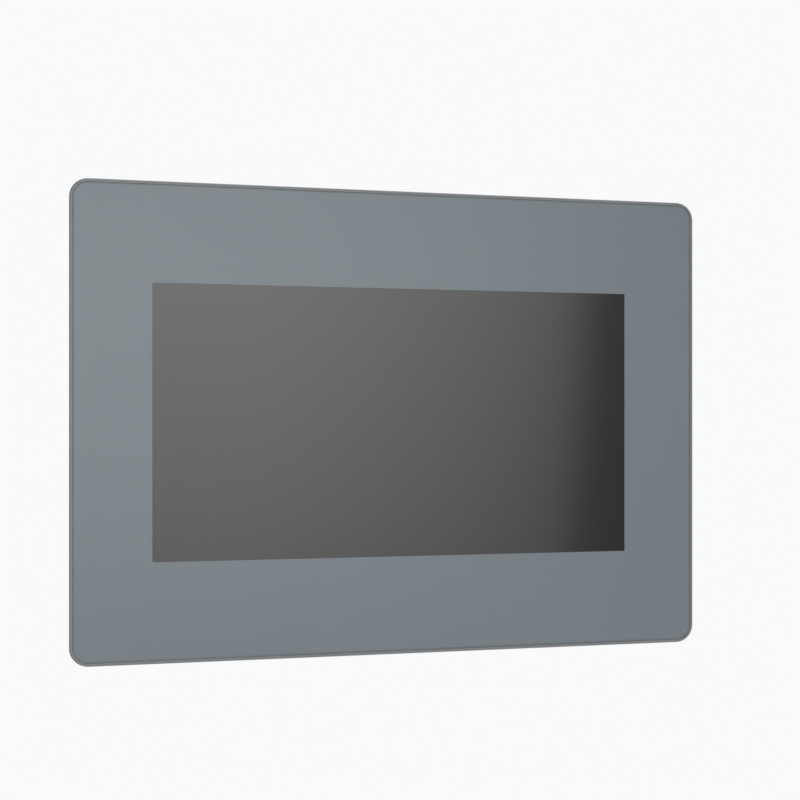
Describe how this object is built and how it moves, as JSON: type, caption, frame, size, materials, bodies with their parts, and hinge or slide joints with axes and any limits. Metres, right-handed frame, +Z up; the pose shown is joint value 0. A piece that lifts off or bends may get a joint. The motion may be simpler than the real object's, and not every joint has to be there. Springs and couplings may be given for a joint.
{
  "type": "hmi touch panel",
  "caption": "Panel-mount operator terminal: flat grey bezel with a wide touch display, rear housing with ports, and screw clamps that grip a cabinet panel.",
  "frame": {"origin": "middle of the panel cut-out, in the plane of the bezel's rear face", "axes": "+X to the right along the width as seen from the front, +Y from the front to the back into the cabinet, +Z up"},
  "size_m": [0.2036, 0.0375, 0.1492],
  "materials": {
    "bezel_plastic": "moulded grey plastic with a fine spark-eroded texture",
    "overlay_film": "grey polyester overlay film, fine matt",
    "window_film": "semi-gloss hard-coated polyester over a dark display",
    "sensor_glass": "clear float glass",
    "copper_flex": "amber polyimide",
    "black_foam": "closed-cell foam tape",
    "bright_steel": "nickel-plated pressed steel",
    "lcd_glass": "dark liquid crystal glass",
    "clear_acrylic": "clear acrylic light guide",
    "white_plastic": "white moulded plastic",
    "gasket_rubber": "black moulded seal",
    "zinc_steel": "zinc-plated steel",
    "standoff_brass": "turned brass",
    "circuit_board": "green solder mask",
    "chip_plastic": "black moulding compound",
    "black_aluminium": "black anodised extrusion",
    "component_sleeve": "dark shrink sleeve and ferrite",
    "cell_steel": "bright cell case",
    "cover_plastic": "dark grey moulded plastic with a fine texture",
    "label_film": "blank silver polyester label",
    "clamp_metal": "dark grey die-cast zinc",
    "foot_plastic": "black nylon",
    "green_plastic": "green connector plastic",
    "tin_plate": "tin-plated copper alloy",
    "orange_plastic": "orange connector plastic",
    "blue_plastic": "blue switch body",
    "red_plastic": "red button"
  },
  "bodies": {
    "panel_unit": {"front_bezel": "bezel_plastic", "front_overlay": "overlay_film", "touch_film": "window_film", "touch_sensor": "sensor_glass", "touch_flex": "copper_flex", "foam_tape": "black_foam", "lcd_frame": "bright_steel", "lcd_cell": "lcd_glass", "light_guide": "clear_acrylic", "backlight_tray": "white_plastic", "lcd_flex": "copper_flex", "panel_gasket": "gasket_rubber", "display_bracket": "zinc_steel", "bracket_screws": "zinc_steel", "board_standoffs": "standoff_brass", "main_board": "circuit_board", "board_screws": "zinc_steel", "board_chips": "chip_plastic", "heat_sink": "black_aluminium", "power_parts": "component_sleeve", "board_connectors": "white_plastic", "battery_holder": "chip_plastic", "coin_cell": "cell_steel", "rear_cover": "cover_plastic", "cover_screws": "zinc_steel", "rating_label": "label_film", "mounting_clamps": "clamp_metal", "power_header": "green_plastic", "header_pins": "tin_plate", "network_shield": "bright_steel", "network_insert": "chip_plastic", "serial_socket": "chip_plastic", "usb_host_shell": "bright_steel", "usb_host_tongue": "white_plastic", "usb_device_port": "bright_steel", "ninepin_shell": "bright_steel", "ninepin_insert": "chip_plastic", "jack_screws": "zinc_steel", "card_socket": "bright_steel", "dip_housing": "blue_plastic", "reset_switch": "chip_plastic"},
    "clamp_foot_1": {"clamp_foot_1": "foot_plastic"},
    "clamp_screw_1": {"clamp_screw_1": "zinc_steel"},
    "clamp_foot_2": {"clamp_foot_2": "foot_plastic"},
    "clamp_screw_2": {"clamp_screw_2": "zinc_steel"},
    "clamp_foot_3": {"clamp_foot_3": "foot_plastic"},
    "clamp_screw_3": {"clamp_screw_3": "zinc_steel"},
    "clamp_foot_4": {"clamp_foot_4": "foot_plastic"},
    "clamp_screw_4": {"clamp_screw_4": "zinc_steel"},
    "terminal_plug": {"terminal_plug": "green_plastic"},
    "plug_release_1": {"plug_release_1": "orange_plastic"},
    "plug_release_2": {"plug_release_2": "orange_plastic"},
    "plug_release_3": {"plug_release_3": "orange_plastic"},
    "dip_slider_1": {"dip_slider_1": "white_plastic"},
    "dip_slider_2": {"dip_slider_2": "white_plastic"},
    "dip_slider_3": {"dip_slider_3": "white_plastic"},
    "dip_slider_4": {"dip_slider_4": "white_plastic"},
    "reset_button": {"reset_button": "red_plastic"},
    "battery_door": {"battery_door": "cover_plastic"}
  },
  "joints": [
    {"name": "foot_slide_1", "type": "slide", "parent": "panel_unit", "child": "clamp_foot_1", "axis": [0, -1, 0], "range_m": [-0.0025, 0.0047]},
    {"name": "screw_turn_1", "type": "hinge", "parent": "clamp_foot_1", "child": "clamp_screw_1", "pos_m": [-0.074, 0.012, 0.07135], "axis": [0, -1, 0], "range_deg": [-1290, 2422]},
    {"name": "foot_slide_2", "type": "slide", "parent": "panel_unit", "child": "clamp_foot_2", "axis": [0, -1, 0], "range_m": [-0.0025, 0.0047]},
    {"name": "screw_turn_2", "type": "hinge", "parent": "clamp_foot_2", "child": "clamp_screw_2", "pos_m": [0.074, 0.012, 0.07135], "axis": [0, -1, 0], "range_deg": [-1290, 2422]},
    {"name": "foot_slide_3", "type": "slide", "parent": "panel_unit", "child": "clamp_foot_3", "axis": [0, -1, 0], "range_m": [-0.0025, 0.0047]},
    {"name": "screw_turn_3", "type": "hinge", "parent": "clamp_foot_3", "child": "clamp_screw_3", "pos_m": [-0.074, 0.012, -0.07135], "axis": [0, -1, 0], "range_deg": [-1290, 2422]},
    {"name": "foot_slide_4", "type": "slide", "parent": "panel_unit", "child": "clamp_foot_4", "axis": [0, -1, 0], "range_m": [-0.0025, 0.0047]},
    {"name": "screw_turn_4", "type": "hinge", "parent": "clamp_foot_4", "child": "clamp_screw_4", "pos_m": [0.074, 0.012, -0.07135], "axis": [0, -1, 0], "range_deg": [-1290, 2422]},
    {"name": "plug_pull", "type": "slide", "parent": "panel_unit", "child": "terminal_plug", "axis": [0, 0, -1], "range_m": [0, 0.01]},
    {"name": "release_push_1", "type": "slide", "parent": "terminal_plug", "child": "plug_release_1", "axis": [0, -1, 0], "range_m": [0, 0.0012], "stiffness_N_per_m": 800, "springref_m": -0.001},
    {"name": "release_push_2", "type": "slide", "parent": "terminal_plug", "child": "plug_release_2", "axis": [0, -1, 0], "range_m": [0, 0.0012], "stiffness_N_per_m": 800, "springref_m": -0.001},
    {"name": "release_push_3", "type": "slide", "parent": "terminal_plug", "child": "plug_release_3", "axis": [0, -1, 0], "range_m": [0, 0.0012], "stiffness_N_per_m": 800, "springref_m": -0.001},
    {"name": "dip_slide_1", "type": "slide", "parent": "panel_unit", "child": "dip_slider_1", "axis": [0, 1, 0], "range_m": [0, 0.0012]},
    {"name": "dip_slide_2", "type": "slide", "parent": "panel_unit", "child": "dip_slider_2", "axis": [0, 1, 0], "range_m": [0, 0.0012]},
    {"name": "dip_slide_3", "type": "slide", "parent": "panel_unit", "child": "dip_slider_3", "axis": [0, 1, 0], "range_m": [0, 0.0012]},
    {"name": "dip_slide_4", "type": "slide", "parent": "panel_unit", "child": "dip_slider_4", "axis": [0, 1, 0], "range_m": [0, 0.0012]},
    {"name": "reset_push", "type": "slide", "parent": "panel_unit", "child": "reset_button", "axis": [1, 0, 0], "range_m": [0, 0.0005], "stiffness_N_per_m": 800, "springref_m": -0.0005},
    {"name": "battery_door_hinge", "type": "hinge", "parent": "panel_unit", "child": "battery_door", "pos_m": [-0.06, 0.0295, 0.027], "axis": [1, 0, 0], "range_deg": [0, 95]}
  ],
  "couplings": [
    {"joint": "screw_turn_1", "follows": "foot_slide_1", "rad_per_m": 8976},
    {"joint": "screw_turn_2", "follows": "foot_slide_2", "rad_per_m": 8976},
    {"joint": "screw_turn_3", "follows": "foot_slide_3", "rad_per_m": 8976},
    {"joint": "screw_turn_4", "follows": "foot_slide_4", "rad_per_m": 8976}
  ]
}
